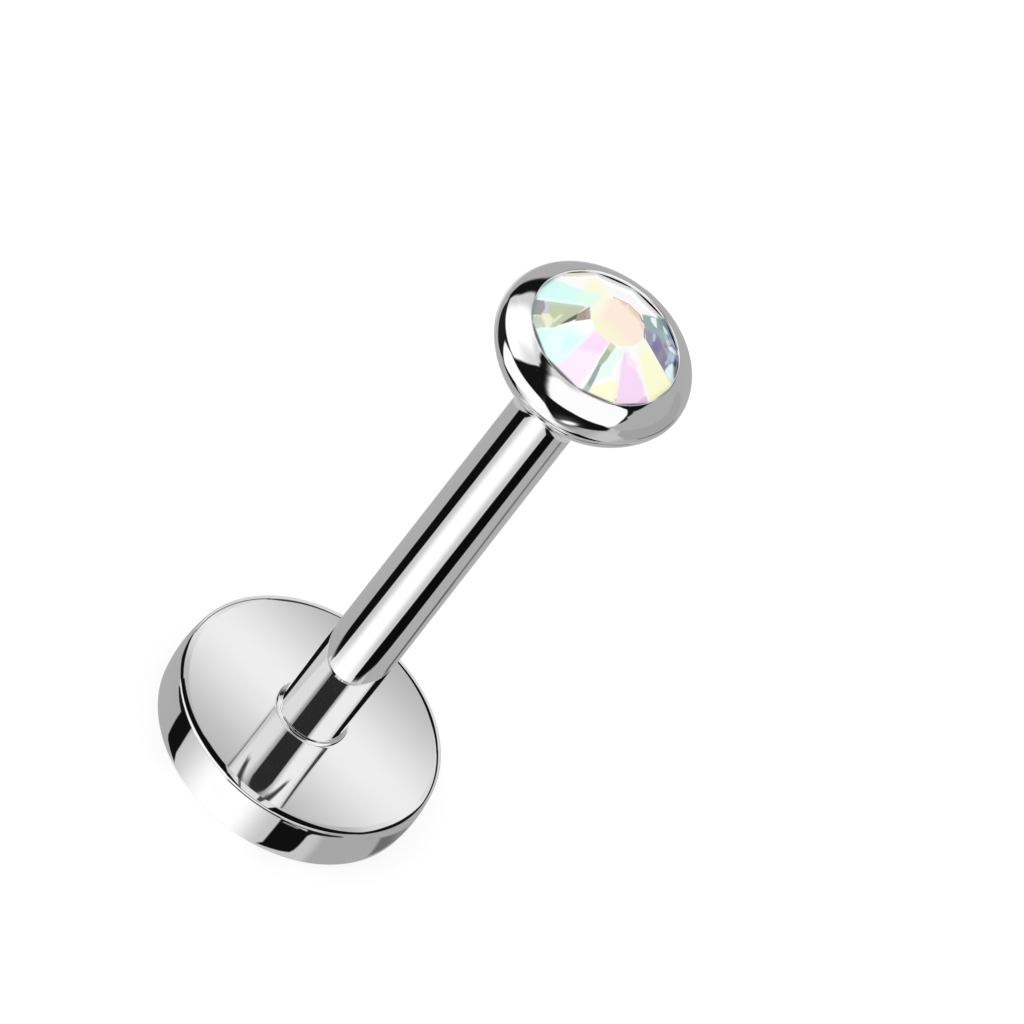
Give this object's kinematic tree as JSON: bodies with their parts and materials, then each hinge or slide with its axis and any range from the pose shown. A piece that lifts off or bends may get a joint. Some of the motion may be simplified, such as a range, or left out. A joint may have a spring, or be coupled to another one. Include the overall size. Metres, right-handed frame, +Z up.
{
  "type": "labret stud",
  "caption": "Push-in labret stud: flat disc back with a hollow post, and a round bezel with a faceted stone whose plain pin slides into the post.",
  "frame": {"origin": "centre of the disc's underside, where the stud stands", "axes": "+Z up along the post, from the disc to the stone; +X to the picture's right along the disc, and +Y away from the camera"},
  "size_m": [0.004, 0.004, 0.0106],
  "materials": {
    "polished_post": "mirror-polished surgical steel",
    "polished_bezel": "mirror-polished surgical steel",
    "iridescent_stone": "faceted glass with an iridescent coating and a foiled back"
  },
  "bodies": {
    "post": {"disc_post": "polished_post"},
    "stone_end": {"bezel_pin": "polished_bezel", "gem": "iridescent_stone"}
  },
  "joints": [
    {"name": "pin_slide", "type": "slide", "parent": "post", "child": "stone_end", "axis": [0, 0, 1], "range_m": [0, 0.0067]}
  ]
}
